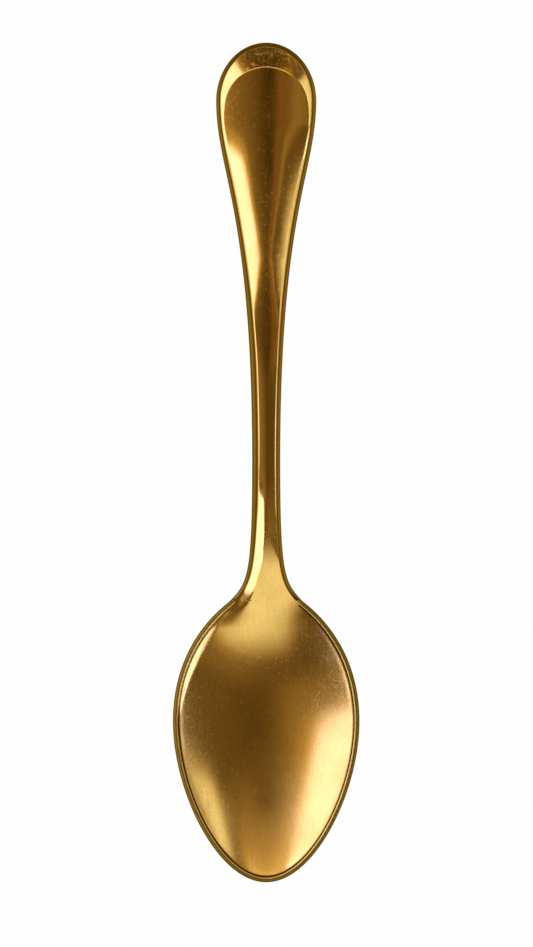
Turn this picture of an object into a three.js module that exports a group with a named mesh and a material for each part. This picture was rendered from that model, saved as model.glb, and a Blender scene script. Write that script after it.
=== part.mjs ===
// An incense spoon in satin gold brass, lying bowl up on the plane z = 0.
// Millimetres, +Z up. The handle runs towards +Y, x = 0 is the plane of symmetry,
// and the origin lies under the middle of the spoon's length.
// A pressed bowl has a half-round wire brazed round its lip. Its neck butts against the
// root of a forged handle and lies on a tongue that the handle sends under it.

import * as THREE from 'three';

const { clamp, degToRad, lerp, smoothstep } = THREE.MathUtils;

// Bowl, seen from above
const bowlLength = 46.8; // shoulder to tip
const bowlWidth = 31.05;
const bowlWidestFromTip = 26.8;
const heelFullness = 0.68; // how far the heel's curve keeps its width, as a share of its run
const tipFullness = 0.44;
const tipBluntness = 0.52;

// Handle, seen from above
const handleLength = 93.2; // shoulder to end
const handleEndWidth = 16.7;
const handleEndRound = 9.8; // length of the rounded end
const stemWidth = 4.65; // at the waist, where the stem is narrowest
const waistFromShoulder = 23.3;
const shoulderWidth = 12.1;
const shoulderAngle = degToRad(43); // outline's turn off the long axis at the shoulder
const shoulderLead = 4.3; // length of the flare's tangent before the shoulder
const heelLead = 0.75; // and after it
const taperStart = 0.2; // shares of the taper's run that leave the wide end and reach the waist
const taperEnd = 0.7;
const flareStart = 0.83;

// Heights of the face's middle line, seen from the side: floor, neck, crest, sag and end
const bowlDepth = 6.6; // lip to floor at the widest place
const floorFromTip = 22;
const neckFromShoulder = 0.7; // the steepest place
const neckHeight = 8.1;
const neckSlope = 0.6;
const crestFromShoulder = 30.2;
const crestHeight = 16.1;
const sagFromShoulder = 61.2;
const sagHeight = 10.3;
const sagSlope = 0.3; // fall of the handle at the sag and at its end
const endSlope = 0.15;
const tipSlope = 0.58; // fall from the tip into the bowl
const curveLead = 0.38; // length of the tangents, as a share of each stretch

// Lip of the bowl
const lipStand = 0.6; // of the lip over the middle line at the tip
const lipSlope = 0.02; // fall of the lip towards the handle
const lipLift = 1.3; // rise of the lip close to the shoulder
const liftRun = 11.8;

// Cross curves: a crown with two flanks on the handle, a hollow in the bowl
const crownStations = [
  { share: 0.01, flank: 0.6, flat: 0.6 }, // shoulder, as a share of the handle's length
  { share: 0.075, flank: 0.6, flat: 0.22 },
  { share: 0.19, flank: 0.6, flat: 0.06 }, // the neck's facets end here
  { share: 0.205, flank: 0.26, flat: 0.08 },
  { share: 0.36, flank: 0.2, flat: 0.1 },
  { share: 0.6, flank: 0.37, flat: 0.18 },
  { share: 0.71, flank: 0.38, flat: 0.38 },
  { share: 0.89, flank: 0.2, flat: 0.4 },
  { share: 1, flank: 0.14, flat: 0.3 },
];
const crownSoft = 0.1; // how softly flank and flat meet, as a share of the half width
const crownSag = 0.05; // gentle crown over flanks and flat
const hollowPower = 2.25; // how much flatter than a round bowl's floor the hollow is
const dishAboveShoulder = 4; // run where the crown becomes the hollow
const dishBelowShoulder = 2.5;
const rootRun = 4; // and where the bar becomes the root
const capLength = 4.2; // turned-down cap at the end of the handle
const capSlope = 0.56;
const bellyFlat = 0.18; // worn off the belly where it rests
const footFlat = 0.06; // and off the underside of the handle's end

// Stock
const sheet = 1; // bowl wall
const rimWire = 0.85; // half-round wire, out from the wall
const rimProud = 0.15; // wire above and below the wall
const endThickness = 1.5; // of the handle at its edge, where the crown adds nothing
const stemThickness = 2.3;
const edgeRound = 1; // width of the handle's rounded edge
const tongueLength = 9;
const tongueWidth = 8.6;
const tongueThickness = 1.25;
const tongueEndThickness = 0.35;
const brazeFilm = 0.25;
const brazeClearance = 0.05;

// Facets
const heelRows = 16;
const tipRows = 22;
const flareRows = 14;
const taperRows = 24;
const endRows = 10;
const tongueRows = 9;
const bowlColumns = 16;
const barColumns = 12;
const tongueColumns = 8;
const wireFacets = 6;

// Limits of the number work
const halvings = 40;
const slopeStep = 0.01;
const samePoint = 1e-4;

const overallLength = handleLength + bowlLength;
const shoulderY = bowlLength - overallLength / 2;
const bowlTipY = shoulderY - bowlLength;
const bowlWidestY = bowlTipY + bowlWidestFromTip;
const waistY = shoulderY + waistFromShoulder;
const handleTipY = shoulderY + handleLength;
const handleWidestY = handleTipY - handleEndRound;
const bowlHalf = bowlWidth / 2;
const shoulderHalf = shoulderWidth / 2;
const stemHalf = stemWidth / 2;
const endHalf = handleEndWidth / 2;
const tongueHalf = tongueWidth / 2;
const lapGap = brazeFilm + 2 * brazeClearance;
const rootThickness = sheet + lapGap + tongueThickness;

const point = (y, value) => new THREE.Vector2(y, value);

// Half outline in plan as curves of (y, half width), from the bowl's tip to the handle's end
const heelRun = shoulderY - bowlWidestY;
const flareRun = waistY - shoulderY;
const taperRun = handleWidestY - waistY;
const shoulder = point(shoulderY, shoulderHalf);
const shoulderTurn = point(Math.cos(shoulderAngle), -Math.sin(shoulderAngle));
const tipSide = new THREE.CubicBezierCurve(
  point(bowlTipY, 0),
  point(bowlTipY, bowlHalf * tipBluntness),
  point(bowlWidestY - bowlWidestFromTip * tipFullness, bowlHalf),
  point(bowlWidestY, bowlHalf),
);
const heelSide = new THREE.CubicBezierCurve(
  point(bowlWidestY, bowlHalf),
  point(bowlWidestY + heelRun * heelFullness, bowlHalf),
  shoulder.clone().addScaledVector(shoulderTurn, -heelLead),
  shoulder,
);
const flareSide = new THREE.CubicBezierCurve(
  shoulder,
  shoulder.clone().addScaledVector(shoulderTurn, shoulderLead),
  point(waistY - flareRun * flareStart, stemHalf),
  point(waistY, stemHalf),
);
const taperSide = new THREE.CubicBezierCurve(
  point(waistY, stemHalf),
  point(waistY + taperRun * taperEnd, stemHalf),
  point(handleWidestY - taperRun * taperStart, endHalf),
  point(handleWidestY, endHalf),
);
const endSide = new THREE.EllipseCurve(
  handleWidestY, 0, handleEndRound, endHalf, Math.PI / 2, 0, true,
);
const outline = [tipSide, heelSide, flareSide, taperSide, endSide];

// Value of a chain of curves, each rising in y, at one y
function valueAt(curves, y) {
  const curve = curves.find((piece) => y <= piece.getPoint(1).x) ?? curves.at(-1);
  let low = 0;
  let high = 1;
  for (let halving = 0; halving < halvings; halving += 1) {
    const middle = (low + high) / 2;
    if (curve.getPoint(middle).x < y) low = middle;
    else high = middle;
  }
  return curve.getPoint(high).y;
}

const halfWidthAt = (y) => valueAt(outline, y);

// Bowl stations: the lip's outer edge, and the wall's edge inside the rim wire
function bowlStationsOn(curve, rows) {
  return curve.getSpacedPoints(rows).map((outer, row) => {
    const along = curve.getTangentAt(row / rows);
    const outward = point(-along.y, along.x);
    return { outer, outward, inner: outer.clone().addScaledVector(outward, -rimWire) };
  });
}
const bowlStations = [
  ...bowlStationsOn(tipSide, tipRows),
  ...bowlStationsOn(heelSide, heelRows).slice(1),
];
const seam = bowlStations.at(-1).inner;

// Middle line of the face as curves of (y, height), down to its end's height
const floorHeight = sheet - bellyFlat;
const lipRise = (y) => {
  const lifted = Math.max(0, 1 - (shoulderY - y) / liftRun);
  return lipLift * lifted ** 2 - lipSlope * (y - bowlWidestY);
};
const lipHeightAt = (y) => floorHeight + bowlDepth + lipRise(y);

function middleLineTo(endHeight) {
  const stations = [
    [bowlTipY, lipHeightAt(bowlTipY) - lipStand, -tipSlope],
    [bowlTipY + floorFromTip, floorHeight, 0],
    [shoulderY + neckFromShoulder, neckHeight, neckSlope],
    [shoulderY + crestFromShoulder, crestHeight, 0],
    [shoulderY + sagFromShoulder, sagHeight, -sagSlope],
    [handleTipY, endHeight, -endSlope],
  ];
  return stations.slice(1).map(([y, height, slope], i) => {
    const [lastY, lastHeight, lastSlope] = stations[i];
    const lead = curveLead * (y - lastY);
    return new THREE.CubicBezierCurve(
      point(lastY, lastHeight),
      point(lastY + lead, lastHeight + lead * lastSlope),
      point(y - lead, height - lead * slope),
      point(y, height),
    );
  });
}

// Fall of the crown from the middle line, over a flat and two flanks
const softRamp = (value) => (Math.hypot(value, crownSoft) + value) / 2;

function crownFall(x, y) {
  const share = clamp((y - shoulderY) / handleLength, crownStations[0].share, 1);
  const next = crownStations.find((station) => station.share >= share);
  const last = crownStations[Math.max(0, crownStations.indexOf(next) - 1)];
  const between = next === last ? 0 : (share - last.share) / (next.share - last.share);
  const flank = lerp(last.flank, next.flank, between);
  const flat = lerp(last.flat, next.flat, between);
  const crownHalf = y > handleWidestY ? endHalf : halfWidthAt(y);
  const across = x / crownHalf;
  const ramps = softRamp(across - flat) + softRamp(-across - flat) - 2 * softRamp(-flat);
  return crownHalf * (flank * ramps + crownSag * across ** 2);
}

const capFall = (y) => capSlope * Math.max(0, capLength - (handleTipY - y));

// Upper face of the whole spoon
function faceHeight(x, y, middleLine) {
  const middle = valueAt(middleLine, y);
  const half = Math.max(halfWidthAt(y), samePoint);
  const hollow = (lipHeightAt(y) - middle) * Math.abs(x / half) ** hollowPower;
  const dished = smoothstep(-y, -(shoulderY + dishAboveShoulder), -(shoulderY - dishBelowShoulder));
  return middle + lerp(-crownFall(x, y), hollow, dished) - capFall(y);
}

// Share of full thickness at a distance in from the rounded edge
function edgeShare(distance) {
  const outside = 1 - clamp(distance / edgeRound, 0, 1);
  return Math.sqrt(1 - outside ** 2);
}

// Height of a round arch of unit rise, at x on a span of +-half
const archAt = (x, half) => (half > 0 ? Math.sqrt(Math.max(0, 1 - (x / half) ** 2)) : 0);

function barThickness(y) {
  return lerp(stemThickness, endThickness, smoothstep(y, waistY, handleWidestY));
}

// A ring across the spoon: the upper chain from left to right, then the lower chain back
function ringAcross(y, xs, upper, lower) {
  const top = xs.map((x) => new THREE.Vector3(x, y, upper(x)));
  const bottom = xs.map((x) => new THREE.Vector3(x, y, lower(x)));
  return [...top, ...bottom.reverse()];
}

const spread = (count, place) => Array.from({ length: count + 1 }, (_, i) => place(i / count));
const evenAcross = (half, columns) => spread(columns, (share) => half * (2 * share - 1));
const edgewiseAcross = (half, columns) =>
  spread(columns, (share) => half * Math.sin(Math.PI * (share - 0.5)));

// Closed skin through rings of equal count, with a strip of triangles over each end
function loft(rings) {
  const count = rings[0].length;
  const corners = [];
  const addTriangle = (a, b, c) => {
    const shortest = Math.min(a.distanceTo(b), b.distanceTo(c), c.distanceTo(a));
    if (shortest > samePoint) corners.push(a, b, c);
  };
  const addQuad = (a, b, c, d) => {
    addTriangle(a, b, c);
    addTriangle(a, c, d);
  };
  for (let row = 0; row + 1 < rings.length; row += 1) {
    for (let i = 0; i < count; i += 1) {
      const j = (i + 1) % count;
      addQuad(rings[row][i], rings[row][j], rings[row + 1][j], rings[row + 1][i]);
    }
  }
  const [first, last] = [rings[0], rings.at(-1)];
  for (let i = 0; 2 * i + 1 < count; i += 1) {
    const [a, b, c, d] = [i, i + 1, count - 2 - i, count - 1 - i];
    if (b > c) break;
    addQuad(first[a], first[d], first[c], first[b]);
    addQuad(last[a], last[b], last[c], last[d]);
  }
  return new THREE.BufferGeometry().setFromPoints(corners);
}

// Handle bar, from the seam to the rounded end, with a flat underside
function barRing(station, middleLine) {
  const y = station.x;
  const half = station.y;
  const slope = (halfWidthAt(y) ** 2 - halfWidthAt(y - slopeStep) ** 2) / (2 * slopeStep);
  const root = smoothstep(-y, -(shoulderY + rootRun), -shoulderY);
  const steepness = (x) => Math.max(2 * Math.hypot(x, slope), samePoint);
  const shareAt = (x) => edgeShare((half ** 2 - x ** 2) / steepness(x));
  const rootDepth = (x) => sheet + (rootThickness - sheet) * archAt(x, half);
  const barDepth = (x) => barThickness(y) + crownFall(half, y) - crownFall(x, y);
  const depthAt = (x) => lerp(barDepth(x), rootDepth(x), root);
  const middle = (x) => faceHeight(x, y, middleLine) - depthAt(x) / 2;
  const reach = (x) => (depthAt(x) / 2) * shareAt(x);
  return ringAcross(
    y,
    edgewiseAcross(half, barColumns),
    (x) => middle(x) + reach(x),
    (x) => middle(x) - reach(x),
  );
}

const barStations = [
  ...flareSide.getSpacedPoints(flareRows),
  ...taperSide.getSpacedPoints(taperRows).slice(1),
  ...endSide.getSpacedPoints(endRows).slice(1),
];

const barRings = (middleLine) => barStations.map((station) => barRing(station, middleLine));

// The handle's end is set down until its underside rests on z = 0
const footLow = Math.min(
  ...barRings(middleLineTo(0)).slice(flareRows).flat().map((corner) => corner.z),
);
const middleLine = middleLineTo(-footFlat - footLow);
const face = (x, y) => faceHeight(x, y, middleLine);
const underWall = (x, y) => Math.max(0, face(x, y) - sheet);

function bowlGeometry() {
  return loft(
    bowlStations.map(({ inner }) => ringAcross(
      inner.x,
      evenAcross(inner.y, bowlColumns),
      (x) => face(x, inner.x),
      (x) => underWall(x, inner.x),
    )),
  );
}

// Half-round section standing on the wall's edge, flat side in
function wireRing({ inner, outward }, side) {
  const middle = face(inner.y, inner.x) - sheet / 2;
  const reach = sheet / 2 + rimProud;
  return spread(wireFacets, (share) => {
    const turn = Math.PI * (share - 0.5);
    const out = rimWire * Math.cos(turn);
    return new THREE.Vector3(
      side * (inner.y + outward.y * out),
      inner.x + outward.x * out,
      middle + reach * Math.sin(turn),
    );
  });
}

function rimGeometry() {
  const right = bowlStations.map((station) => wireRing(station, 1)).reverse();
  const left = bowlStations.map((station) => wireRing(station, -1)).slice(1);
  return loft([...right, ...left]);
}

// Lap under the bowl: rows from the tongue's end back to the seam
const tongueReach = spread(tongueRows, (share) => Math.cos((Math.PI / 2) * share)).slice(0, -1);
const lapRow = (share, length, half) => ({
  y: seam.x - length * share,
  half: half * archAt(share, 1),
});

function tongueRing(share) {
  const { y, half } = lapRow(share, tongueLength, tongueHalf);
  const depth = lerp(tongueThickness, tongueEndThickness, share);
  const seat = (x) => face(x, y) - sheet - lapGap;
  return ringAcross(
    y,
    edgewiseAcross(half, barColumns),
    seat,
    (x) => seat(x) - depth * archAt(x, half),
  );
}

function rootRing() {
  const depth = (x) => sheet + (rootThickness - sheet) * archAt(x, shoulderHalf);
  return ringAcross(
    seam.x,
    edgewiseAcross(seam.y, barColumns),
    (x) => face(x, seam.x),
    (x) => face(x, seam.x) - depth(x),
  );
}

function handleGeometry() {
  const bar = barRings(middleLine);
  bar.flat().forEach((corner) => corner.setZ(Math.max(0, corner.z)));
  return loft([...tongueReach.map(tongueRing), tongueRing(0), rootRing(), ...bar]);
}

function brazeGeometry() {
  const inset = brazeFilm + brazeClearance;
  return loft([...tongueReach.slice(1), 0].map((share) => {
    const row = lapRow(share, tongueLength - inset, tongueHalf - inset);
    const y = row.y - brazeClearance;
    const top = (x) => face(x, y) - sheet - brazeClearance;
    return ringAcross(y, evenAcross(row.half, tongueColumns), top, (x) => top(x) - brazeFilm);
  }));
}

function subPart(name, geometry, color, roughness) {
  const material = new THREE.MeshStandardMaterial({ color, roughness, metalness: 1 });
  geometry.computeVertexNormals();
  const mesh = new THREE.Mesh(geometry, material);
  mesh.name = name;
  return mesh;
}

const spoon = new THREE.Group();
spoon.add(subPart('handle', handleGeometry(), 0xd0a24a, 0.22));
spoon.add(subPart('bowl', bowlGeometry(), 0xcf9f45, 0.3));
spoon.add(subPart('bowl_rim', rimGeometry(), 0xb08a34, 0.28));
spoon.add(subPart('braze_film', brazeGeometry(), 0xd8b867, 0.4));

export default spoon;
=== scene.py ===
import math
import bpy
import numpy as np
from mathutils.kdtree import KDTree
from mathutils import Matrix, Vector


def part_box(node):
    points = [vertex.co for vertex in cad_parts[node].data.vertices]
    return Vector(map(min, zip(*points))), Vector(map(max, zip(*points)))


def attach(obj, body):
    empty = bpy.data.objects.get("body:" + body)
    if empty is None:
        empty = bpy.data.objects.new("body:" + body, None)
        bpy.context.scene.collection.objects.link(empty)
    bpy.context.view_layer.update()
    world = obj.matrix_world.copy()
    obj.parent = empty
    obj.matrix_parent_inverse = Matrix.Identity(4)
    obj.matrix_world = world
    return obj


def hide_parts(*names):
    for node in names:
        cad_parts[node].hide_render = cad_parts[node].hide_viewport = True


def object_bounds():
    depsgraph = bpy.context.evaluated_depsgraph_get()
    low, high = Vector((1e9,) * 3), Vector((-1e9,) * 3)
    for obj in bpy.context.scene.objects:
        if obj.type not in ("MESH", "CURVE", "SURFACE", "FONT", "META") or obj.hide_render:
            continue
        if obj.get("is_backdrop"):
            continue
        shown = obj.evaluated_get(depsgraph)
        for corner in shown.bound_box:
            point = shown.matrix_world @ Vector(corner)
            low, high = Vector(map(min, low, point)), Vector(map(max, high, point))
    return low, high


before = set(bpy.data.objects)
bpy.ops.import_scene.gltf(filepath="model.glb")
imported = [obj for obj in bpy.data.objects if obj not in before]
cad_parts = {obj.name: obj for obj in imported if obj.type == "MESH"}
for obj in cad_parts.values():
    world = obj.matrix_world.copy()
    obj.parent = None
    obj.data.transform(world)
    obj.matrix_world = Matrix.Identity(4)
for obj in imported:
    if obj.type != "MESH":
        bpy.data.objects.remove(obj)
cadLow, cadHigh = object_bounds()
mm = 0.001
tiny = 1e-6  # keeps a divisor off zero
mergeWithin = 1e-6  # corners closer than this, in metres, become one

# Outline from above, in millimetres: curves of (y, half width) from the bowl's tip to the handle's end
outlineForm = {
    "tipBluntness": 0.52,
    "tipFullness": 0.44,
    "widestFromTip": 26.8,
    "heelFullness": 0.68,
    "heelLead": 0.75,
    "shoulderFromTip": 46.8,
    "shoulderHalf": 6.05,
    "shoulderAngle": 43,
    "shoulderLead": 4.3,
    "waistFromShoulder": 23.3,
    "stemHalf": 2.325,
    "flareStart": 0.83,
    "taperStart": 0.2,
    "taperEnd": 0.7,
    "endRound": 9.8,
    "endHalf": 8.35,
    "curveSteps": 500,
}

# Side view and cross curves of the upper face
faceForm = {
    "sheet": 1.0,
    "bellyFlat": 0.18,
    "lipSlope": -0.02,
    "lipLift": 1.3,  # rise of the lip towards the shoulders
    "liftFrom": -35.0,
    "lipCurl": 0.6,  # extra rise of the wall close to the lip
    "curlRun": 1.9,
    "curlShares": (0.2, 0.4),  # of it on the left and on the right side
    "leftFrom": 6.0,
    # steep facet inside the lip on the upper left: place, then how far in from the outline it reaches
    "leftFacet": ((-45, 0.0), (-44, 0.9), (-40.7, 1.3), (-37.4, 1.8), (-34, 2.25), (-30.7, 2.25),
                  (-27.7, 1.85), (-24.4, 1.25), (-23.2, 0.9), (-22.2, 0.0)),
    "facetSlope": 0.27,
    "facetSoft": 0.16,
    # slope of the middle line, from the bowl's tip over its floor and the arch to the handle's end
    "middleSlopes": ((-70, -0.58), (-68, -0.53), (-65, -0.47), (-62, -0.42), (-59, -0.34), (-56, -0.2),
                     (-52, -0.07), (-48, 0.0), (-44, 0.03), (-38, 0.15), (-34, 0.32), (-31.4, 0.42),
                     (-28, 0.53), (-24, 0.6), (-21, 0.6), (-17, 0.52), (-13.9, 0.42), (-10, 0.29),
                     (-5, 0.16), (0, 0.08), (7, 0.0), (15, -0.1), (22, -0.2), (30, -0.28), (38, -0.3),
                     (46, -0.27), (54, -0.21), (62, -0.17), (70, -0.15)),
    "middleStep": 0.05,
    "middleEase": 40,  # steps to either side over which its slopes are eased
    # crown of the handle: place, then slope of the flank and share of the half width that lies flatter
    # before it, on the left and on the right, how softly they meet, a gentle crown over all, and where
    # the left turns up again
    "crown": (
        (-28, 0.0, 0.5, 0.4, 0.95, 0.04, 0.03, 0.6),
        (-25, 0.34, 0.5, 0.4, 0.95, 0.08, 0.03, 0.62),
        (-23.4, 0.6, 0.5, 0.4, 0.95, 0.06, 0.03, 0.7),
        (-22.3, 0.66, 0.48, 0.4, 0.95, 0.03, 0.03, 0.78),
        (-21.4, 0.68, 0.46, 0.4, 0.95, 0.004, 0.03, 0.81),
        (-19.6, 0.7, 0.42, 0.4, 0.95, 0.004, 0.03, 0.84),
        (-16.4, 0.72, 0.2, 0.4, 0.75, 0.004, 0.03, 1.1),
        (-12, 0.75, 0.1, 0.4, 0.15, 0.01, 0.03, 1.2),
        (-6.6, 0.8, 0.06, 0.36, 0.1, 0.08, 0.03, 1.2),
        (-4.9, 0.62, 0.07, 0.3, 0.09, 0.1, 0.04, 1.2),
        (-3.2, 0.34, 0.08, 0.25, 0.08, 0.18, 0.05, 1.2),
        (-1.0, 0.22, 0.08, 0.23, 0.08, 0.2, 0.05, 1.2),
        (10, 0.2, 0.1, 0.2, 0.1, 0.3, 0.06, 1.2),
        (18, 0.25, 0.5, 0.25, 0.5, 0.2, 0.08, 1.2),
        (22, 0.36, 0.8, 0.36, 0.8, 0.12, 0.1, 1.2),
        (25.3, 0.36, 0.58, 0.36, 0.58, 0.12, 0.12, 1.2),
        (28.6, 0.37, 0.38, 0.37, 0.38, 0.12, 0.14, 1.2),
        (33.8, 0.38, 0.16, 0.38, 0.16, 0.12, 0.15, 1.2),
        (38, 0.38, 0.25, 0.38, 0.25, 0.12, 0.15, 1.2),
        (43.6, 0.38, 0.38, 0.38, 0.38, 0.12, 0.14, 1.2),
        (50, 0.36, 0.43, 0.34, 0.43, 0.14, 0.13, 1.2),
        (52.6, 0.27, 0.43, 0.24, 0.43, 0.2, 0.125, 1.2),
        (56, 0.11, 0.43, 0.1, 0.43, 0.3, 0.12, 1.2),
        (70, 0.05, 0.3, 0.05, 0.3, 0.3, 0.12, 1.2),
    ),
    "crownLeast": 0.3,  # half width below which the crown gets no narrower
    "turnUp": 1.15,  # times the slope of the flank
    # dip of the lip towards the left shoulder
    "leftDip": ((-37, 0.0), (-31, 0.32), (-27, 0.52), (-24.5, 0.6), (-20, 0.6)),
    "dipLeast": 3.0,  # half width below which it leans no more
    "dishFrom": 1.5,  # the crown gives way to the hollow from here above the shoulder to here below it
    "dishTo": -4.5,
}

bowlForm = {
    "columns": 130,
    "rows": 190,
    "lipSteps": 420,
    "wireOut": 0.85,  # of the rim's outside, from the edge of the wall
    "wireTaper": 0.3,  # length over which the wire comes to its point at the shoulders
    "lipRoll": 0.4,
    "lipDrop": 0.16,
    "dropRun": 5.0,  # below the shoulder, over which the lip comes to this drop
    "bandStart": 0.76,  # place of the lip's edge on the side band, which the handle has whole, so that the lip takes the band's dark stops as a painted dark line, painted shade
    "paintedHighlightReach": (1.0, 1.5),  # of the left facet, between which the lip and its wire are painted bright, a painted highlight
    "creaseAngle": 38,
}

rimLow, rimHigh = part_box("bowl_rim")
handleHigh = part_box("handle")[1]
bowlTipY = rimLow.y / mm
bowlHalf = rimHigh.x / mm
handleTipY = handleHigh.y / mm
endHalf = outlineForm["endHalf"]
shoulderY = bowlTipY + outlineForm["shoulderFromTip"]
bowlWidestY = bowlTipY + outlineForm["widestFromTip"]
waistY = shoulderY + outlineForm["waistFromShoulder"]
handleWidestY = handleTipY - outlineForm["endRound"]


def bezier(a, b, c, d):
    t = np.linspace(0, 1, outlineForm["curveSteps"])[:, None]
    a, b, c, d = np.array(a), np.array(b), np.array(c), np.array(d)
    return (1 - t) ** 3 * a + 3 * (1 - t) ** 2 * t * b + 3 * (1 - t) * t ** 2 * c + t ** 3 * d


def smooth(low, high, value):
    t = np.clip((value - low) / (high - low), 0, 1)
    return t * t * (3 - 2 * t)


def drawOutline(form):
    turn = math.radians(form["shoulderAngle"])
    along = np.array([math.cos(turn), -math.sin(turn)])
    shoulder = np.array([shoulderY, form["shoulderHalf"]])
    heel = shoulderY - bowlWidestY
    flare = waistY - shoulderY
    taper = handleWidestY - waistY
    stem = form["stemHalf"]
    tip = form["widestFromTip"] * form["tipFullness"]
    quarter = np.linspace(math.pi / 2, 0, form["curveSteps"])
    return [
        bezier((bowlTipY, 0), (bowlTipY, bowlHalf * form["tipBluntness"]),
               (bowlWidestY - tip, bowlHalf), (bowlWidestY, bowlHalf)),
        bezier((bowlWidestY, bowlHalf), (bowlWidestY + heel * form["heelFullness"], bowlHalf),
               shoulder - form["heelLead"] * along, shoulder),
        bezier(shoulder, shoulder + form["shoulderLead"] * along,
               (waistY - flare * form["flareStart"], stem), (waistY, stem)),
        bezier((waistY, stem), (waistY + taper * form["taperEnd"], stem),
               (handleWidestY - taper * form["taperStart"], endHalf), (handleWidestY, endHalf)),
        np.column_stack([handleWidestY + form["endRound"] * np.cos(quarter), endHalf * np.sin(quarter)]),
    ]


outlineParts = drawOutline(outlineForm)
lipLine = np.vstack([outlineParts[0], outlineParts[1][1:]])
barLine = np.vstack([outlineParts[2]] + [part[1:] for part in outlineParts[3:]])
wholeLine = np.vstack([lipLine, barLine[1:]])
# half the slope of the squared half width, from which the inset close to the edge follows
apart = 1e-9 * np.arange(len(wholeLine))  # so that no two points share a place
squareSlope = np.gradient(wholeLine[:, 1] ** 2, wholeLine[:, 0] + apart) / 2


def halfAt(y):
    return np.interp(y, wholeLine[:, 0], wholeLine[:, 1])


# The same line again at even steps along its length
def evenSteps(line, count):
    run = np.concatenate([[0], np.cumsum(np.hypot(*np.diff(line, axis=0).T))])
    steps = np.linspace(0, run[-1], count)
    return np.column_stack([np.interp(steps, run, line[:, 0]), np.interp(steps, run, line[:, 1])]), steps


# How far a point of the plan lies inside the outline
outlineSteps = 8000
edgeBlend = (0.1, 0.5)  # insets between which the near measure gives way to the far one
outlineTree = KDTree(outlineSteps)
for number, (lineY, lineX) in enumerate(evenSteps(wholeLine, outlineSteps)[0]):
    outlineTree.insert((lineX, lineY, 0), number)
outlineTree.balance()


def insetAt(x, y):
    steep = np.interp(y, wholeLine[:, 0], squareSlope)
    close = np.maximum(halfAt(y) ** 2 - x ** 2, 0) / np.maximum(2 * np.hypot(x, steep), tiny)
    far = np.array([outlineTree.find((abs(px), py, 0))[2] for px, py in zip(x, y)])
    return close + (far - close) * smooth(*edgeBlend, far)


# Middle line of the spoon: slopes eased into each other, then summed up to heights
def drawMiddleLine(form):
    step = form["middleStep"]
    reach = form["middleEase"]
    y = np.arange(bowlTipY, handleTipY + step, step)
    slope = np.interp(y, *np.array(form["middleSlopes"]).T)
    ease = np.hanning(2 * reach + 1)
    before = 2 * slope[0] - slope[reach:0:-1]
    after = 2 * slope[-1] - slope[-2:-reach - 2:-1]
    slope = np.convolve(np.concatenate([before, slope, after]), ease / ease.sum(), mode="valid")
    height = np.concatenate([[0], np.cumsum((slope[1:] + slope[:-1]) / 2) * step])
    return np.column_stack([y, height - height.min() + form["sheet"] - form["bellyFlat"]])


middleLine = drawMiddleLine(faceForm)


def middleHeight(y):
    return np.interp(y, middleLine[:, 0], middleLine[:, 1])


def lipHeight(y):
    lift = np.clip((y - faceForm["liftFrom"]) / (shoulderY - faceForm["liftFrom"]), 0, None)
    along = faceForm["lipSlope"] * (y - bowlTipY)
    return middleLine[0, 1] + faceForm["lipCurl"] + along + faceForm["lipLift"] * lift ** 2


def softRamp(value, soft):
    return (np.sqrt(value ** 2 + soft ** 2) + value) / 2


def crownAt(x, y):
    wide = np.maximum(np.where(y > handleWidestY, endHalf, halfAt(y)), faceForm["crownLeast"])
    knots = np.array(faceForm["crown"]).T
    columns = [np.interp(y, knots[0], column) for column in knots[1:]]
    leftSlope, leftFlat, rightSlope, rightFlat, soft, sag, leftTurn = columns
    across = x / wide
    left = softRamp(-across - leftFlat, soft) - softRamp(-leftFlat, soft)
    left = left - faceForm["turnUp"] * (softRamp(-across - leftTurn, soft) - softRamp(-leftTurn, soft))
    right = softRamp(across - rightFlat, soft) - softRamp(-rightFlat, soft)
    return -wide * (leftSlope * left + rightSlope * right + sag * across ** 2)


def faceAt(x, y):
    form = faceForm
    half = np.maximum(halfAt(y), tiny)
    inset = insetAt(x, y)
    left = smooth(0, form["leftFrom"], -x)
    leftShare, rightShare = form["curlShares"]
    curlRise = form["lipCurl"] * (rightShare + (leftShare - rightShare) * left)
    curl = curlRise * np.maximum(0, 1 - inset / form["curlRun"]) ** 2
    reach = np.interp(y, *np.array(form["leftFacet"]).T) * left
    dip = np.interp(y, *np.array(form["leftDip"]).T) * left
    lean = form["facetSlope"] + 2 * dip / np.maximum(half, form["dipLeast"])
    facet = lean * softRamp(reach - inset, form["facetSoft"])
    facetRise = lean * softRamp(reach - bowlForm["wireOut"], form["facetSoft"])
    depth = lipHeight(y) - dip - curlRise - facetRise - middleHeight(y)
    hollow = depth * (x / half) ** 2 + curl + facet
    dished = smooth(-shoulderY - form["dishFrom"], -shoulderY - form["dishTo"], -y)
    return middleHeight(y) + (1 - dished) * crownAt(x, y) + dished * hollow


print("outline and face: length %.1f mm, bowl %.1f mm wide" % (handleTipY - bowlTipY, 2 * bowlHalf))


def startPiece(name):
    piece = bpy.context.object
    piece.name = name
    piece.data.name = name
    return piece


# A flat blank of two skins, one above the other, whose corners know their row and their place across
def flatBlank(name, columns, rows):
    bpy.ops.object.select_all(action="DESELECT")
    bpy.ops.mesh.primitive_grid_add(x_subdivisions=columns, y_subdivisions=rows, size=2)
    blank = startPiece(name)
    wall = blank.modifiers.new("wall", "SOLIDIFY")
    wall.thickness = 1
    wall.offset = -1
    bpy.ops.object.modifier_apply(modifier=wall.name)
    corners = np.empty(len(blank.data.vertices) * 3)
    blank.data.vertices.foreach_get("co", corners)
    corners = corners.reshape(-1, 3)
    row = np.rint((corners[:, 1] + 1) / 2 * rows).astype(int)
    return blank, corners[:, 0], row, corners[:, 2] < -0.5


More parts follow.
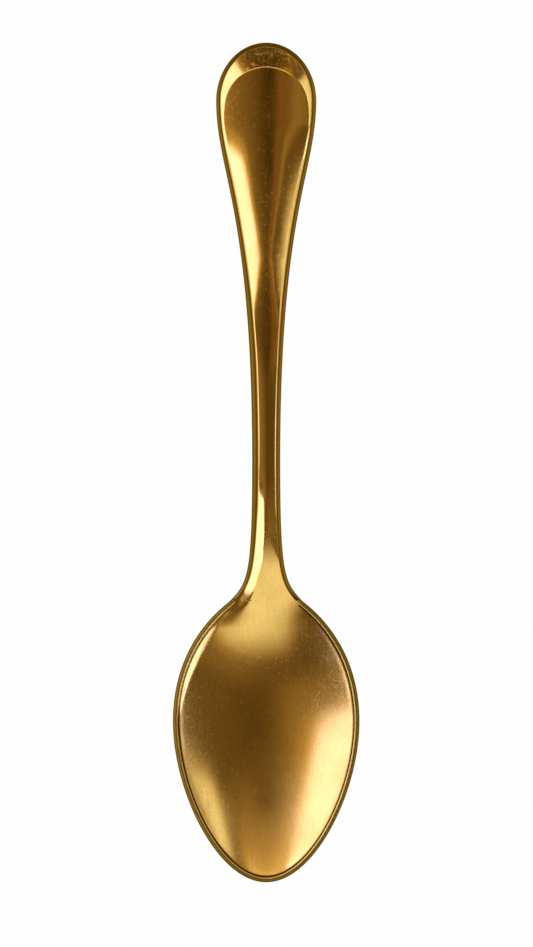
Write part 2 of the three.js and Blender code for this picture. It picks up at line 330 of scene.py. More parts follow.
# Forge the blank to its place, close its edges and turn its faces out
def forge(piece, x, y, z, creaseAngle):
    place = np.column_stack([x, y, z]) * mm
    piece.data.vertices.foreach_set("co", place.ravel())
    piece.data.update()
    bpy.ops.object.mode_set(mode="EDIT")
    bpy.ops.mesh.select_all(action="SELECT")
    bpy.ops.mesh.remove_doubles(threshold=mergeWithin)
    bpy.ops.mesh.normals_make_consistent(inside=False)
    bpy.ops.object.mode_set(mode="OBJECT")
    bpy.ops.object.shade_smooth_by_angle(angle=math.radians(creaseAngle))


def keepTone(piece, name, tone):
    layer = piece.data.attributes.new(name, "FLOAT", "POINT")
    layer.data.foreach_set("value", tone.astype(np.float32))


def seat(piece, node, finish):
    piece.data.materials.clear()
    piece.data.materials.append(finish)
    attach(piece, "root")
    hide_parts(node)
    print("%s: %d faces" % (piece.name, len(piece.data.polygons)))


# Nodes: short ways to add and join them
def addNode(tree, kind, values=None, **settings):
    node = tree.nodes.new(kind)
    for key, value in settings.items():
        setattr(node, key, value)
    for key, value in (values or {}).items():
        if isinstance(value, bpy.types.NodeSocket):
            tree.links.new(value, node.inputs[key])
        else:
            node.inputs[key].default_value = value
    return node


def mathNode(tree, operation, *values):
    return addNode(tree, "ShaderNodeMath", dict(enumerate(values)), operation=operation).outputs[0]


def mixColour(tree, share, first, second):
    node = addNode(tree, "ShaderNodeMix", data_type="RGBA")
    for place, value in ((0, share), (6, first), (7, second)):  # the colour sockets of this node
        if isinstance(value, bpy.types.NodeSocket):
            tree.links.new(value, node.inputs[place])
        else:
            node.inputs[place].default_value = value
    return node.outputs[2]


def mixValue(tree, share, first, second):
    return addNode(tree, "ShaderNodeMix", {0: share, 2: first, 3: second}, data_type="FLOAT").outputs[0]


def remap(tree, value, low, high, newLow, newHigh):
    values = {0: value, 1: low, 2: high, 3: newLow, 4: newHigh}
    return addNode(tree, "ShaderNodeMapRange", values, clamp=True).outputs[0]


def noise(tree, vector, scale, detail=2.0, roughness=0.5, twist=0.0):
    return addNode(tree, "ShaderNodeTexNoise", {"Vector": vector, "Scale": scale, "Detail": detail,
                   "Roughness": roughness, "Distortion": twist}).outputs[0]


def stretched(tree, vector, scale):
    return addNode(tree, "ShaderNodeMapping", {"Vector": vector, "Scale": scale}).outputs[0]


def placeInMm(tree):
    place = addNode(tree, "ShaderNodeTexCoord").outputs["Object"]
    return stretched(tree, place, (1 / mm, 1 / mm, 1 / mm))


def startMetal(name):
    finish = bpy.data.materials.new(name)
    finish.use_nodes = True
    shader = finish.node_tree.nodes["Principled BSDF"]
    shader.inputs["Metallic"].default_value = 1.0
    return finish, finish.node_tree, shader


def addBump(tree, shader, height):
    bump = addNode(tree, "ShaderNodeBump", {"Height": height, "Strength": 1.0, "Distance": 1.0})
    tree.links.new(bump.outputs[0], shader.inputs["Normal"])


def fillRamp(ramp, tones):
    for number, (place, colour) in enumerate(tones):
        stop = ramp.elements[number] if number < 2 else ramp.elements.new(place)
        stop.position = place
        stop.color = colour


# Hair lines as a polishing cloth leaves them: level lines of a noise, broken up by another one
hairForm = {"twist": 0.8, "level": 0.5, "breaks": 2.2, "breakSoft": 0.08}


def hairLines(tree, inMm, shift, size, thin, keep):
    form = hairForm
    moved = addNode(tree, "ShaderNodeVectorMath", {0: inMm, 1: shift}, operation="ADD").outputs[0]
    field = noise(tree, moved, 1 / size, detail=1.0, twist=form["twist"])
    offLine = mathNode(tree, "ABSOLUTE", mathNode(tree, "SUBTRACT", field, form["level"]))
    line = remap(tree, offLine, 0.0, thin, 1.0, 0.0)
    breaks = noise(tree, moved, form["breaks"] / size, detail=0.0)
    kept = remap(tree, breaks, keep, keep + form["breakSoft"], 0.0, 1.0)
    return mathNode(tree, "MULTIPLY", line, kept)


satinBrass = {
    "gold": (0.84, 0.59, 0.23, 1),
    "deepGold": (0.78, 0.52, 0.175, 1),
    "redGold": (0.66, 0.36, 0.10, 1),
    "strokeGold": (0.95, 0.69, 0.28, 1),
    "capGold": (0.74, 0.42, 0.07, 1),
    # painted shade on the side band at the handle's end
    "endPaintedShade": (0.07, 0.033, 0.003, 1),
    "grazing": (0.8, 0.55, 0.2, 1),
    # side band of the handle, from its outer edge in: dark, olive, dark line; the olive is patina, the dark
    # stops are painted shade where the wall reflects the shaded floor
    "band": ((0.0, (0.07, 0.032, 0.003, 1)), (0.22, (0.14, 0.075, 0.01, 1)), (0.42, (0.25, 0.148, 0.026, 1)),
             (0.62, (0.2, 0.11, 0.014, 1)), (0.8, (0.09, 0.038, 0.003, 1)), (0.95, (0.16, 0.075, 0.006, 1))),
    "bandGrain": 0.12,  # how far the brush marks move the band's tones
    "faceFrom": (0.9, 1.15),  # places on the band between which the face takes over
    # marks to a millimetre: across and along for the two brushes
    "brush": (5.0, 0.22, 0.22),
    "fineBrush": (11.0, 0.5, 0.5),
    "cloud": 0.11,
    "mottle": 0.38,
    # what the marks do to tone and roughness: from and to on their own scale, then what that gives
    "deepShare": (0.38, 0.68, 0.0, 0.75),
    "redShare": (0.35, 0.65, 0.0, 0.32),
    "cloudRoughness": (0.3, 0.7, -0.03, 0.04),
    "brushRoughness": (0.3, 0.7, -0.02, 0.04),
    "strokeShare": 0.5,
    "capShare": 0.8,
    "endShadeShare": (62.0, 68.0, 0.0, 0.8),  # of the painted shade in the band, which darkens it over the last of the handle
    "bowlRoughness": 0.2,
    "handleRoughness": 0.15,
    "neckRun": (-30.0, 6.0),  # places between which the one gives way to the other
    "bandRoughness": 0.4,
    # duller floor of the bowl: its middle, its size, where it fades, and how much rougher it is
    "floorWear": ((0, -57, 0), (0.14, 0.09, 0), (0.5, 1.1), 0.14),
    "brushHeight": 1.2e-6,
    "fineBrushHeight": 0.6e-6,
    "mottleHeight": 3.0e-5,
    # shift, size of the curls, thinness and how much of each line is left out
    "hairs": (((0, 0, 0), 1.9, 0.017, 0.5), ((17, 41, 0), 1.5, 0.02, 0.52),
              ((48, 64, 0), 1.2, 0.022, 0.53), ((79, 87, 0), 2.4, 0.015, 0.48)),
    "hairRoughness": 0.09,
    "wisp": ((7, 3, 0), 3.0, 0.025, 0.42),  # the same, of the cloudy lines on the cap
    "wispRoughness": 0.11,
}


def makeSatinBrass(name, look):
    finish, tree, shader = startMetal(name)
    shader.inputs["Specular Tint"].default_value = look["grazing"]
    inMm = placeInMm(tree)
    alongY = addNode(tree, "ShaderNodeSeparateXYZ", {0: inMm}).outputs[1]
    brush = noise(tree, stretched(tree, inMm, look["brush"]), 1.0, detail=3.0, roughness=0.6)
    fineBrush = noise(tree, stretched(tree, inMm, look["fineBrush"]), 1.0, detail=2.0)
    cloud = noise(tree, inMm, look["cloud"], detail=4.0, roughness=0.55)
    mottle = noise(tree, inMm, look["mottle"], detail=1.0, twist=0.5)
    lines = hairLines(tree, inMm, *look["hairs"][0])
    for hair in look["hairs"][1:]:
        lines = mathNode(tree, "MAXIMUM", lines, hairLines(tree, inMm, *hair))
    band = addNode(tree, "ShaderNodeAttribute", attribute_name="bandPlace").outputs["Fac"]
    cap = addNode(tree, "ShaderNodeAttribute", attribute_name="capTone").outputs["Fac"]
    face = remap(tree, band, *look["faceFrom"], 0.0, 1.0)
    gold = mixColour(tree, remap(tree, cloud, *look["deepShare"]), look["gold"], look["deepGold"])
    gold = mixColour(tree, remap(tree, fineBrush, *look["redShare"]), gold, look["redGold"])
    gold = mixColour(tree, mathNode(tree, "MULTIPLY", lines, look["strokeShare"]), gold, look["strokeGold"])
    gold = mixColour(tree, mathNode(tree, "MULTIPLY", cap, look["capShare"]), gold, look["capGold"])
    bandSpot = mathNode(tree, "MULTIPLY_ADD", fineBrush, look["bandGrain"], band)
    # the band's tones: olive patina, with painted shade in the dark stops
    ramp = addNode(tree, "ShaderNodeValToRGB", {0: bandSpot})
    fillRamp(ramp.color_ramp, look["band"])
    # painted shade: the band darkens towards the handle's end
    side = mixColour(tree, remap(tree, alongY, *look["endShadeShare"]), ramp.outputs[0], look["endPaintedShade"])
    gold = mixColour(tree, face, side, gold)
    tree.links.new(gold, shader.inputs["Base Color"])
    rough = remap(tree, alongY, *look["neckRun"], look["bowlRoughness"], look["handleRoughness"])
    rough = mathNode(tree, "ADD", rough, remap(tree, cloud, *look["cloudRoughness"]))
    rough = mathNode(tree, "ADD", rough, remap(tree, brush, *look["brushRoughness"]))
    rough = mathNode(tree, "MULTIPLY_ADD", lines, look["hairRoughness"], rough)
    middle, size, fade, wear = look["floorWear"]
    away = addNode(tree, "ShaderNodeVectorMath", {0: inMm, 1: middle}, operation="SUBTRACT").outputs[0]
    away = stretched(tree, away, size)
    away = addNode(tree, "ShaderNodeVectorMath", {0: away}, operation="LENGTH").outputs["Value"]
    rough = mathNode(tree, "ADD", rough, remap(tree, away, *fade, wear, 0.0))
    wisp = mathNode(tree, "MULTIPLY", hairLines(tree, inMm, *look["wisp"]), cap)
    rough = mathNode(tree, "MULTIPLY_ADD", wisp, look["wispRoughness"], rough)
    rough = mixValue(tree, face, look["bandRoughness"], rough)
    tree.links.new(rough, shader.inputs["Roughness"])
    height = mathNode(tree, "MULTIPLY", brush, look["brushHeight"])
    height = mathNode(tree, "MULTIPLY_ADD", fineBrush, look["fineBrushHeight"], height)
    onCap = mathNode(tree, "MULTIPLY", mottle, cap)
    height = mathNode(tree, "MULTIPLY_ADD", onCap, look["mottleHeight"], height)
    addBump(tree, shader, height)
    return finish


satinFinish = makeSatinBrass("satinBrass", satinBrass)

# Handle: forged bar with a drafted side wall, and a chamfer that runs round its end as a turned-down cap
handleForm = {
    "columns": 110,
    "rows": 310,
    "tongueRows": 14,
    "foldColumn": 14,  # that lies on the fold of the neck's left flank
    "foldRun": (4.0, 8.0),  # below the middle of the spoon, over which it comes to lie there
    "endRows": 110,  # of them round the end
    "endThickness": 1.5,
    "stemThickness": 2.3,
    "wallWidth": 0.74,  # of the drafted side, seen from above
    "leftWallWidth": 1.02,  # and on the left of the stem
    "wallHeight": 0.5,
    "wallCurve": 1.15,
    "stemRun": (15.0, 40.0),  # above the waist, over which the stem gives way to the end
    "capWidth": 4.25,  # of the chamfer at the very end
    # width elsewhere, inside the wall
    "lineWidths": ((-11, -0.2), (-8, 0.1), (0, 0.16), (20, 0.17), (50, 0.34), (70, 0.36)),
    "capDrop": 3.0,  # of the point that the cap turns about, below the widest place
    "capRound": 0.93,  # how soon the cap runs out on its way round the end
    "capSlope": 0.64,
    "sideSlope": 0.47,  # of the chamfer beside the cap
    "stemSlope": 0.75,  # of the chamfer along the stem
    "capSoft": 0.012,
    "capInside": (0.1, 0.8),  # from the chamfer's border, where the cap's own tone comes up
    "capSpan": (2.5, 3.6),  # widths of the chamfer between which it becomes the cap
    "underRound": 0.7,
    "underFall": 0.9,  # share of the chamfer that the underside follows
    "rootRun": 4.0,  # above the shoulder, where the chamfer starts
    "dent": (-2.2, 66.0, 0.4, 0.06),  # small dent beside the cap: its place, radius and depth
    "tongueLength": 9.0,
    "tongueHalf": 4.3,
    "tongueThickness": 1.25,
    "tongueEndThickness": 0.35,
    "lapGap": 0.35,
    "footFlat": 0.06,
    "creaseAngle": 24,
}
noBand = 3  # place on the side band of what lies clear of it


# Upper and lower face of the bar, and how far the chamfer has let the upper one down
def barHeights(form, x, y, half, inset):
    root = smooth(shoulderY, shoulderY + form["rootRun"], y)
    capLength = outlineForm["endRound"] + form["capDrop"]
    turn = np.degrees(np.arctan2(np.abs(x) / endHalf, (y - handleWidestY + form["capDrop"]) / capLength))
    stemFrom, stemTo = form["stemRun"]
    onStem = 1 - smooth(waistY + stemFrom, waistY + stemTo, y)
    wider = onStem * smooth(shoulderY, waistY, y) * (x < 0)
    wide = form["wallWidth"] + (form["leftWallWidth"] - form["wallWidth"]) * wider
    chamfer = wide + np.interp(y, *np.array(form["lineWidths"]).T)
    around = np.cos(np.radians(np.minimum(turn * form["capRound"], 90))) ** 2
    chamfer = chamfer + (form["capWidth"] - chamfer) * around
    soft = form["capSoft"]
    slope = form["sideSlope"] + (form["capSlope"] - form["sideSlope"]) * around
    slope = slope + (form["stemSlope"] - slope) * onStem
    fall = np.logaddexp(0, (chamfer - inset) / soft) * soft * slope * root
    wall = form["wallHeight"]
    toEnd = smooth(waistY, handleWidestY, y)
    thick = form["stemThickness"] + (form["endThickness"] - form["stemThickness"]) * toEnd
    thick = (thick - faceForm["sheet"]) * root + faceForm["sheet"]
    arch = np.sqrt(np.maximum(0, 1 - (x / np.maximum(half, tiny)) ** 2))
    face = faceAt(x, y)
    dentX, dentY, dentRadius, dentDepth = form["dent"]
    dent = dentDepth * np.exp(-((x - dentX) ** 2 + (y - dentY) ** 2) / dentRadius ** 2)
    top = face - fall - wall * np.maximum(0, 1 - inset / wide) ** form["wallCurve"] - dent
    edge = face - fall - wall
    lower = np.minimum(faceAt(half, y), faceAt(-half, y))
    sides = np.minimum(face, lower * root + face * (1 - root))  # a flat underside hangs from both sides
    lap = (form["lapGap"] + form["tongueThickness"]) * arch * (1 - root)
    below = np.where(root > 0, sides, face) - thick - lap
    roundUp = np.sqrt(np.maximum(0, 1 - np.maximum(0, 1 - inset / form["underRound"]) ** 2))
    below = np.minimum(below - fall * form["underFall"], edge) * roundUp + edge * (1 - roundUp)
    return face, top, np.minimum(below, top), chamfer, wide


def makeHandle(form):
    split = np.searchsorted(barLine[:, 0], handleWidestY)
    stemRows = evenSteps(barLine[:split + 1], form["rows"] - form["tongueRows"] - form["endRows"] + 1)[0]
    barRows = np.vstack([stemRows, evenSteps(barLine[split:], form["endRows"] + 1)[0][1:]])
    reach = np.cos(np.linspace(0, math.pi / 2, form["tongueRows"]))  # 1 at the tongue's end
    tongueY = shoulderY - form["tongueLength"] * reach
    tongueHalf = form["tongueHalf"] * np.sqrt(1 - reach ** 2)
    rowY = np.concatenate([tongueY, barRows[:, 0]])
    rowHalf = np.concatenate([tongueHalf, barRows[:, 1]])
    rowReach = np.concatenate([reach, np.full(len(barRows), -1.0)])
    piece, across, row, under = flatBlank("handle_forged", form["columns"], form["rows"])
    y = rowY[row]
    half = rowHalf[row]
    # the rows of the neck keep one line of corners on the fold of the left flank
    column = np.sin(across * math.pi / 2)
    fold = math.sin(form["foldColumn"] / form["columns"] * math.pi)
    place = np.interp(y, *np.array(faceForm["crown"])[:, [0, 2]].T)
    place = fold + (place - fold) * smooth(*form["foldRun"], -y) * (y > shoulderY)
    beyond = place + (-column - fold) / (1 - fold) * (1 - place)
    left = np.where(-column < fold, -column * place / fold, beyond)
    x = half * np.where(column < 0, -left, column)
    inset = np.maximum(insetAt(x, y), 0)
    # the end is set down until it rests on the floor
    below = barHeights(form, x, y, half, inset)[2]
    gap = below[y > waistY].min() + form["footFlat"]
    middleLine[:, 1] -= gap * smooth(waistY, handleWidestY, middleLine[:, 0])
    print("handle's end set down by %.2f mm" % gap)
    face, top, below, chamfer, wide = barHeights(form, x, y, half, inset)
    tongue = rowReach[row] >= 0
    outwards = np.maximum(rowReach[row], 0)
    arch = np.sqrt(np.maximum(0, 1 - (x / np.maximum(half, tiny)) ** 2))
    lapFace = face - faceForm["sheet"] - form["lapGap"]
    deep = form["tongueThickness"] + (form["tongueEndThickness"] - form["tongueThickness"]) * outwards
    top = np.where(tongue, lapFace, top)
    below = np.where(tongue, lapFace - deep * arch, below)
    z = np.maximum(0, np.where(under, below, top))
    keepTone(piece, "bandPlace", np.where(tongue | under, noBand, np.minimum(inset / wide, noBand)))
    onCap = smooth(*form["capInside"], chamfer - inset) * smooth(*form["capSpan"], chamfer)
    keepTone(piece, "capTone", onCap * (~under))
    forge(piece, x, y, z, form["creaseAngle"])
    return piece


handle = makeHandle(handleForm)
seat(handle, "handle", satinFinish)

# Bowl: pressed sheet, its edge rolled over a little where the wire lies against it
def edgeSteps(line, count):
    steps, run = evenSteps(line, count)
    along = np.gradient(steps, axis=0)
    along /= np.hypot(*along.T)[:, None]
    out = np.column_stack([-along[:, 1], along[:, 0]])  # outward, as (y, x)
    out[0] = (-1, 0)
    share = np.sqrt(smooth(0, bowlForm["wireTaper"], run[-1] - run))
    return run, out, share, steps - out * (bowlForm["wireOut"] * share)[:, None]


lipShare, wallEdge = edgeSteps(lipLine, bowlForm["lipSteps"])[2:]


def makeBowl(form):
    rows = evenSteps(wallEdge, form["rows"] + 1)[0]
    piece, across, row, under = flatBlank("bowl_pressed", form["columns"], form["rows"])
    y = rows[row, 0]
    half = rows[row, 1]
    x = half * np.sin(across * math.pi / 2)
    inset = np.maximum(insetAt(x, y) - form["wireOut"], 0)
    drop = form["lipDrop"] * smooth(0, form["dropRun"], shoulderY - y)
    face = faceAt(x, y)
    top = face - drop * np.maximum(0, 1 - inset / form["lipRoll"]) ** 2
    below = np.maximum(0, face - faceForm["sheet"])
    tapered = 1 - np.interp(y, wallEdge[:, 0], lipShare)
    reach = np.interp(y, *np.array(faceForm["leftFacet"]).T) * (x < 0)
    # the lip's edge takes the band's painted shade, which gives way to the painted highlight where the left
    # facet reaches
    place = form["bandStart"] + inset + tapered + smooth(*form["paintedHighlightReach"], reach)
    keepTone(piece, "bandPlace", np.where(under, noBand, place))
    forge(piece, x, y, np.where(under, below, top), form["creaseAngle"])
    return piece


bowl = makeBowl(bowlForm)
seat(bowl, "bowl", satinFinish)

# Rim: oval wire along the lip, drawn out to a point at each shoulder
wireForm = {
    "sides": 28,
    "steps": 430,
    "overlap": 0.6,  # over the end of the handle's side
    "middle": 0.36,  # of the section, out from the wall's edge
    "reachOut": 0.49,
    "reachUp": 0.65,
    "pointHeight": 0.35,  # share of its height that is left at the points
    "girth": 3.6,  # round the section, as its map has it
    "paintedHighlightTurn": (1.75, 2.1),  # round the section, between which its inner side is painted bright, a painted highlight
    "creaseAngle": 60,
}

wireBrass = {
    # from its outer side over the top to its inner side: painted shade, olive patina, a painted highlight
    # line, painted shade again
    "patinaAndPaintedLightBands": ((0.0, (0.05, 0.028, 0.001, 1)), (0.2, (0.08, 0.046, 0.002, 1)), (0.36, (0.36, 0.235, 0.02, 1)),
              (0.54, (0.5, 0.335, 0.04, 1)), (0.61, (1.0, 0.78, 0.3, 1)), (0.69, (0.95, 0.72, 0.26, 1)),
              (0.75, (0.08, 0.04, 0.004, 1)), (1.0, (0.05, 0.025, 0.003, 1))),
    "dark": (0.16, 0.095, 0.006, 1),
    # painted highlight colour of the wire's inner side
    "paintedHighlight": (1.0, 0.82, 0.42, 1),
    "grazing": (0.6, 0.42, 0.08, 1),
    # marks along and round the wire
    "grain": (0.5, 9.0, 1),
    "fine": (3.0, 22.0, 1),
    "waver": 0.06,  # of the bands
    "darkShare": (0.4, 0.7, 0.0, 0.35),
    "roughness": (0.3, 0.7, 0.47, 0.62),
    "paintedHighlightRoughness": 0.42,
    "grainHeight": 6e-6,
}


def makeWireBrass(name, look):
    finish, tree, shader = startMetal(name)
    shader.inputs["Specular Tint"].default_value = look["grazing"]
    paintedHighlight = addNode(tree, "ShaderNodeAttribute", attribute_name="paintedHighlightEdge").outputs["Fac"]
    onWire = addNode(tree, "ShaderNodeUVMap", uv_map="alongWire").outputs[0]
    grain = noise(tree, stretched(tree, onWire, look["grain"]), 1.0, detail=3.0, roughness=0.6)
    fine = noise(tree, stretched(tree, onWire, look["fine"]), 1.0, detail=2.0)
    around = addNode(tree, "ShaderNodeSeparateXYZ", {0: onWire}).outputs[1]
    around = mathNode(tree, "DIVIDE", around, wireForm["girth"] / 2)  # 0 to 1 over the upper half
    around = mathNode(tree, "SUBTRACT", around, look["waver"] / 2)
    around = mathNode(tree, "MULTIPLY_ADD", grain, look["waver"], around)
    ramp = addNode(tree, "ShaderNodeValToRGB", {0: around})
    # ramp of olive patina with a painted highlight line and painted shade round the section
    fillRamp(ramp.color_ramp, look["patinaAndPaintedLightBands"])
    tone = mixColour(tree, remap(tree, fine, *look["darkShare"]), ramp.outputs[0], look["dark"])
    # painted highlight on the wire's inner side
    tone = mixColour(tree, paintedHighlight, tone, look["paintedHighlight"])
    tree.links.new(tone, shader.inputs["Base Color"])
    rough = mixValue(tree, paintedHighlight, remap(tree, grain, *look["roughness"]), look["paintedHighlightRoughness"])
    tree.links.new(rough, shader.inputs["Roughness"])
    addBump(tree, shader, mathNode(tree, "MULTIPLY", grain, look["grainHeight"]))
    return finish


def makeWire(form):
    over = barLine[1:][barLine[1:, 0] < shoulderY + form["overlap"]]
    lipRun, lipOut, pointing, edge = edgeSteps(np.vstack([lipLine, over]), form["steps"])
    out = np.vstack([lipOut[::-1], lipOut[1:]])
    side = np.concatenate([np.ones(len(edge)), -np.ones(len(edge) - 1)])
    share = np.concatenate([pointing[::-1], pointing[1:]])
    wall = np.vstack([edge[::-1], edge[1:]])
    rows = len(wall) - 1
    bpy.ops.object.select_all(action="DESELECT")
    bpy.ops.mesh.primitive_grid_add(x_subdivisions=form["sides"], y_subdivisions=rows, size=2)
    piece = startPiece("rim_wire")
    corners = np.empty(len(piece.data.vertices) * 3)
    piece.data.vertices.foreach_get("co", corners)
    corners = corners.reshape(-1, 3)
    row = np.rint((corners[:, 1] + 1) / 2 * rows).astype(int)
    turn = corners[:, 0] * math.pi
    outBy = (form["middle"] + form["reachOut"] * np.cos(turn)) * share[row]
    tall = form["pointHeight"] + (1 - form["pointHeight"]) * share[row]
    up = form["reachUp"] * np.sin(turn) * tall * (share[row] > 0)
    y = wall[row, 0] + out[row, 0] * outBy
    x = side[row] * (wall[row, 1] + out[row, 1] * outBy)
    middle = faceAt(side[row] * wall[row, 1], wall[row, 0]) - faceForm["sheet"] / 2
    reach = np.interp(y, *np.array(faceForm["leftFacet"]).T) * (x < 0)
    # painted highlight: where the left facet reaches, the inner side of the wire is painted bright
    paintedHighlightPlace = smooth(*bowlForm["paintedHighlightReach"], reach)
    keepTone(piece, "paintedHighlightEdge", paintedHighlightPlace * smooth(*form["paintedHighlightTurn"], turn))
    layer = piece.data.uv_layers.new(name="alongWire")
    run = np.concatenate([lipRun[-1] - lipRun[::-1], lipRun[-1] + lipRun[1:]])
    around = turn / (2 * math.pi) * form["girth"]
    loops = np.empty(len(piece.data.loops), int)
    piece.data.loops.foreach_get("vertex_index", loops)
    layer.data.foreach_set("uv", np.column_stack([run[row], around])[loops].ravel())
    forge(piece, x, y, middle + up, form["creaseAngle"])
    return piece


wire = makeWire(wireForm)
seat(wire, "bowl_rim", makeWireBrass("wireBrass", wireBrass))

# Braze: film between tongue and bowl, squeezed out to a bead round the tongue
brazeForm = {
    "columns": 48,
    "rows": 30,
    "margin": 0.4,  # beyond the tongue
    "seatDepth": 0.3,
    "beadRise": 6.0,  # how soon the bead comes to this depth from its edge
    "sink": 0.02,
    "creaseAngle": 60,
}

brazeMetal = {
    "filler": (0.82, 0.66, 0.34, 1),
    "dull": (0.55, 0.40, 0.17, 1),
    "ripple": 1.6,
    "dullShare": (0.35, 0.65, 0.0, 1.0),
    "roughness": (0.3, 0.7, 0.36, 0.51),
    "rippleHeight": 2e-5,
}


def makeBrazeMetal(name, look):
    finish, tree, shader = startMetal(name)
    ripple = noise(tree, placeInMm(tree), look["ripple"], detail=3.0)
    tone = mixColour(tree, remap(tree, ripple, *look["dullShare"]), look["filler"], look["dull"])
    tree.links.new(tone, shader.inputs["Base Color"])
    tree.links.new(remap(tree, ripple, *look["roughness"]), shader.inputs["Roughness"])
    addBump(tree, shader, mathNode(tree, "MULTIPLY", ripple, look["rippleHeight"]))
    return finish


def makeBraze(form):
    reach = np.cos(np.linspace(0, math.pi / 2, form["rows"] + 1))
    rowY = shoulderY - (handleForm["tongueLength"] + form["margin"]) * reach
    rowHalf = (handleForm["tongueHalf"] + form["margin"]) * np.sqrt(1 - reach ** 2)
    piece, across, row, under = flatBlank("braze_bead", form["columns"], form["rows"])
    y = rowY[row]
    x = rowHalf[row] * np.sin(across * math.pi / 2)
    top = faceAt(x, y) - faceForm["sheet"] + form["sink"]
    share = np.maximum(0, 1 - (x / np.maximum(rowHalf[row], tiny)) ** 2) * (1 - reach[row] ** 2)
    depth = form["sink"] + form["seatDepth"] * np.minimum(1, form["beadRise"] * share) ** 0.5
    forge(piece, x, y, np.where(under, top - depth * (share > 0), top), form["creaseAngle"])
    return piece


braze = makeBraze(brazeForm)
seat(braze, "braze_film", makeBrazeMetal("brazeMetal", brazeMetal))

# Stage: pale floor, soft boxes round it, a dim warm room above
stageForm = {
    "floorSize": 8.0,
    "floorColour": (0.9, 0.9, 0.9, 1),
    "floorWhite": 0.99,  # share of plain white that the camera and the metal see
    # tones of the room from its left to its right, where it leans towards the handle's end
    "roomTones": ((-1.0, (0.3, 0.2, 0.055, 1)), (-0.5, (0.27, 0.18, 0.05, 1)),
                  (-0.25, (0.2, 0.125, 0.035, 1)), (-0.08, (0.12, 0.07, 0.016, 1)),
                  (0.0, (0.055, 0.03, 0.004, 1)), (0.08, (0.042, 0.022, 0.002, 1)),
                  (0.12, (0.11, 0.06, 0.013, 1)), (0.18, (0.31, 0.14, 0.036, 1)),
                  (0.24, (0.16, 0.094, 0.022, 1)), (0.31, (0.21, 0.13, 0.034, 1)),
                  (0.4, (0.38, 0.245, 0.078, 1)), (0.6, (0.16, 0.1, 0.026, 1)),
                  (1.0, (0.14, 0.09, 0.024, 1))),
    # the softer ones straight above, and again lower down behind the handle's end
    "roomNear": ((-1.0, (0.27, 0.18, 0.05, 1)), (-0.45, (0.32, 0.21, 0.06, 1)),
                 (-0.15, (0.18, 0.112, 0.028, 1)), (0.0, (0.13, 0.08, 0.018, 1)),
                 (0.3, (0.11, 0.068, 0.015, 1)), (0.6, (0.15, 0.096, 0.024, 1)),
                 (1.0, (0.16, 0.105, 0.028, 1))),
    # and where it leans towards the bowl's tip
    "roomBelow": ((-1.0, (0.14, 0.09, 0.022, 1)), (-0.5, (0.13, 0.082, 0.018, 1)),
                  (0.0, (0.16, 0.1, 0.025, 1)), (0.5, (0.26, 0.17, 0.048, 1)),
                  (1.0, (0.2, 0.13, 0.036, 1))),
    "roomFar": (0.07, 0.04, 0.007, 1),
    # the way from the bowl's side of the room to the handle's: from, to, share, and what takes over
    "roomSteps": ((-0.5, -0.28, 1.0, "roomNear"), (0.12, 0.3, 1.0, "roomTones"),
                  (0.5, 0.62, 0.7, "roomNear"), (0.86, 0.95, 1.0, "roomFar")),
    "roomHorizon": (0.9, 0.9, 0.9, 1),
    "horizonRise": (0.05, 0.09),
}

# middle in metres, azimuth that the box lies towards and its lean off the floor in degrees, width, height,
# brightness, shares of the width and of the upper and lower height over which the light fades, tone
softBoxes = {
    "keyLeft": ((-0.8, 0.56, 0.69), 180, 90, 1.45, 1.34, 1.0, 0.08, 0.53, 0.02, "white"),
    "cardRight": ((0.85, 0.46, 0.325), 0, 90, 0.72, 0.39, 1.04, 0.2, 0.35, 0.2, "warm"),
    "stripRight": ((0.861, -0.401, 0.14), -25, 90, 1.2, 0.26, 1.3, 0.15, 0.2, 0.02, "white"),
    "stripLeft": ((-0.814, -0.489, 0.165), 211, 90, 0.73, 0.32, 1.3, 0.08, 0.1, 0.05, "white"),
    "fillBelow": ((0.086, -0.818, 0.475), -84, 60, 0.78, 0.5, 0.9, 0.35, 0.35, 0.15, "warm"),
    "cardAbove": ((0.028, 0.787, 0.531), 88, 56, 1.25, 0.55, 1.0, 0.4, 0.5, 0.1, "gold"),
}
# tones from the edge of a box to its middle
boxTones = {
    "white": ((0.0, (0.16, 0.1, 0.026, 1)), (0.6, (0.19, 0.12, 0.034, 1)), (0.85, (0.62, 0.44, 0.14, 1)),
              (1.0, (1.25, 1.33, 1.8, 1))),
    "warm": ((0.0, (0.2, 0.122, 0.03, 1)), (0.4, (0.36, 0.27, 0.10, 1)), (1.0, (0.92, 0.97, 0.82, 1))),
    "gold": ((0.0, (0.17, 0.11, 0.028, 1)), (1.0, (0.72, 0.57, 0.3, 1))),
}


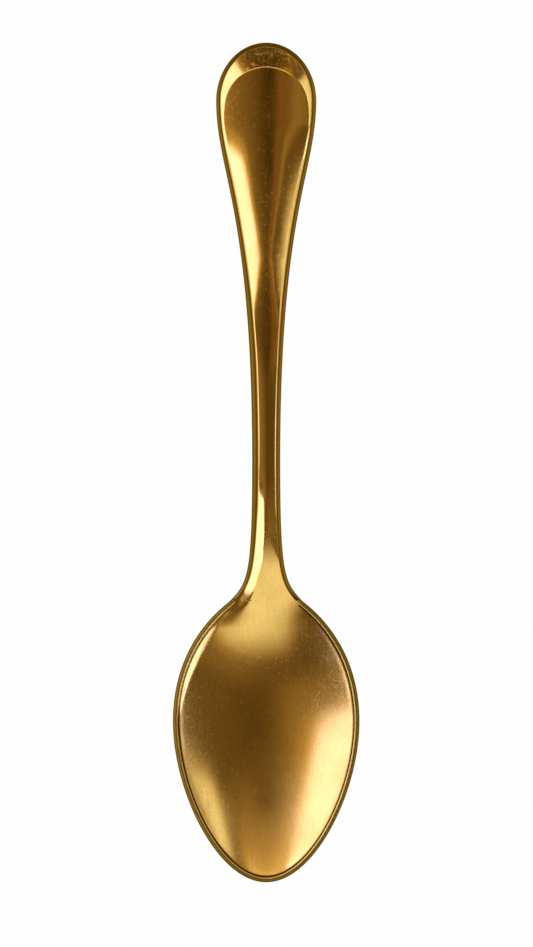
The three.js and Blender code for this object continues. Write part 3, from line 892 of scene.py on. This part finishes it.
def makeFloor(form):
    bpy.ops.object.select_all(action="DESELECT")
    bpy.ops.mesh.primitive_plane_add(size=form["floorSize"])
    floor = startPiece("floor")
    paper = bpy.data.materials.new("floorPaper")
    paper.use_nodes = True
    tree = paper.node_tree
    tree.nodes.remove(tree.nodes["Principled BSDF"])
    ray = addNode(tree, "ShaderNodeLightPath").outputs
    seen = mathNode(tree, "MAXIMUM", ray["Is Camera Ray"], ray["Is Glossy Ray"])
    seen = mathNode(tree, "MAXIMUM", seen, ray["Is Transmission Ray"])
    matt = addNode(tree, "ShaderNodeBsdfDiffuse", {"Color": form["floorColour"]})
    white = addNode(tree, "ShaderNodeEmission", {"Strength": 1.0})
    share = mathNode(tree, "MULTIPLY", seen, form["floorWhite"])
    mix = addNode(tree, "ShaderNodeMixShader", {0: share, 1: matt.outputs[0], 2: white.outputs[0]})
    tree.links.new(mix.outputs[0], tree.nodes["Material Output"].inputs[0])
    floor.data.materials.append(paper)
    floor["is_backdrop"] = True


def makeRoom(form):
    world = bpy.data.worlds.new("room")
    bpy.context.scene.world = world
    world.use_nodes = True
    tree = world.node_tree
    aim = addNode(tree, "ShaderNodeTexCoord").outputs["Generated"]
    aim = addNode(tree, "ShaderNodeSeparateXYZ", {0: aim}).outputs
    across = mathNode(tree, "MULTIPLY_ADD", aim[0], 0.5, 0.5)
    tones = {"roomFar": form["roomFar"]}
    for key in ("roomTones", "roomNear", "roomBelow"):
        ramp = addNode(tree, "ShaderNodeValToRGB", {0: across})
        fillRamp(ramp.color_ramp, [(place / 2 + 0.5, colour) for place, colour in form[key]])
        tones[key] = ramp.outputs[0]
    tone = tones["roomBelow"]
    for start, end, share, key in form["roomSteps"]:
        tone = mixColour(tree, remap(tree, aim[1], start, end, 0.0, share), tone, tones[key])
    tone = mixColour(tree, remap(tree, aim[2], *form["horizonRise"], 0.0, 1.0), form["roomHorizon"], tone)
    tree.links.new(tone, tree.nodes["Background"].inputs["Color"])
    tree.nodes["Background"].inputs["Strength"].default_value = 1.0


def makeSoftBox(name, middle, azimuth, lean, width, height, bright, fadeSide, fadeUp, fadeDown, tone):
    lamp = bpy.data.lights.new(name, "AREA")
    lamp.shape = "RECTANGLE"
    lamp.size = width
    lamp.size_y = height
    lamp.energy = bright * 4 * width * height  # a brightness of 1 shows white
    lamp.use_nodes = True
    tree = lamp.node_tree
    spot = addNode(tree, "ShaderNodeNewGeometry").outputs["Parametric"]
    spot = addNode(tree, "ShaderNodeSeparateXYZ", {0: spot}).outputs
    aside = mathNode(tree, "ABSOLUTE", mathNode(tree, "MULTIPLY_ADD", spot[0], 2.0, -1.0))
    share = remap(tree, aside, 1 - fadeSide, 1.0, 1.0, 0.0)
    share = mathNode(tree, "MULTIPLY", share, remap(tree, spot[1], 1 - fadeUp, 1.0, 1.0, 0.0))
    share = mathNode(tree, "MULTIPLY", share, remap(tree, spot[1], 0.0, fadeDown, 0.0, 1.0))
    ramp = addNode(tree, "ShaderNodeValToRGB", {0: share})
    fillRamp(ramp.color_ramp, boxTones[tone])
    tree.links.new(ramp.outputs[0], tree.nodes["Emission"].inputs["Color"])
    box = bpy.data.objects.new(name, lamp)
    bpy.context.scene.collection.objects.link(box)
    box.location = middle
    box.rotation_euler = (math.radians(lean), 0, math.radians(azimuth + 90))


makeFloor(stageForm)
makeRoom(stageForm)
for name, values in softBoxes.items():
    makeSoftBox(name, *values)

# Camera straight above, as in the photograph
cameraForm = {
    "height": 1.5,
    "sharpHeight": 0.004,  # of the level that the frame is measured at
    "frameHeight": 0.15783,
    "middle": (0.00005, -0.00198),
    "sensor": 36,
    "clipEnd": 20,
}


def makeCamera(form):
    lens = bpy.data.cameras.new("photoCamera")
    lens.sensor_width = form["sensor"]
    lens.lens = lens.sensor_width * (form["height"] - form["sharpHeight"]) / form["frameHeight"]
    lens.clip_end = form["clipEnd"]
    camera = bpy.data.objects.new("photoCamera", lens)
    bpy.context.scene.collection.objects.link(camera)
    camera.location = (form["middle"][0], form["middle"][1], form["height"])
    bpy.context.scene.camera = camera


makeCamera(cameraForm)
bpy.context.scene.view_settings.view_transform = "Standard"

low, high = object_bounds()
cadSize = [round(v / mm, 2) for v in cadHigh - cadLow]
ownSize = [round(v / mm, 2) for v in high - low]
print("box of the CAD model", cadSize, "and of this one", ownSize)
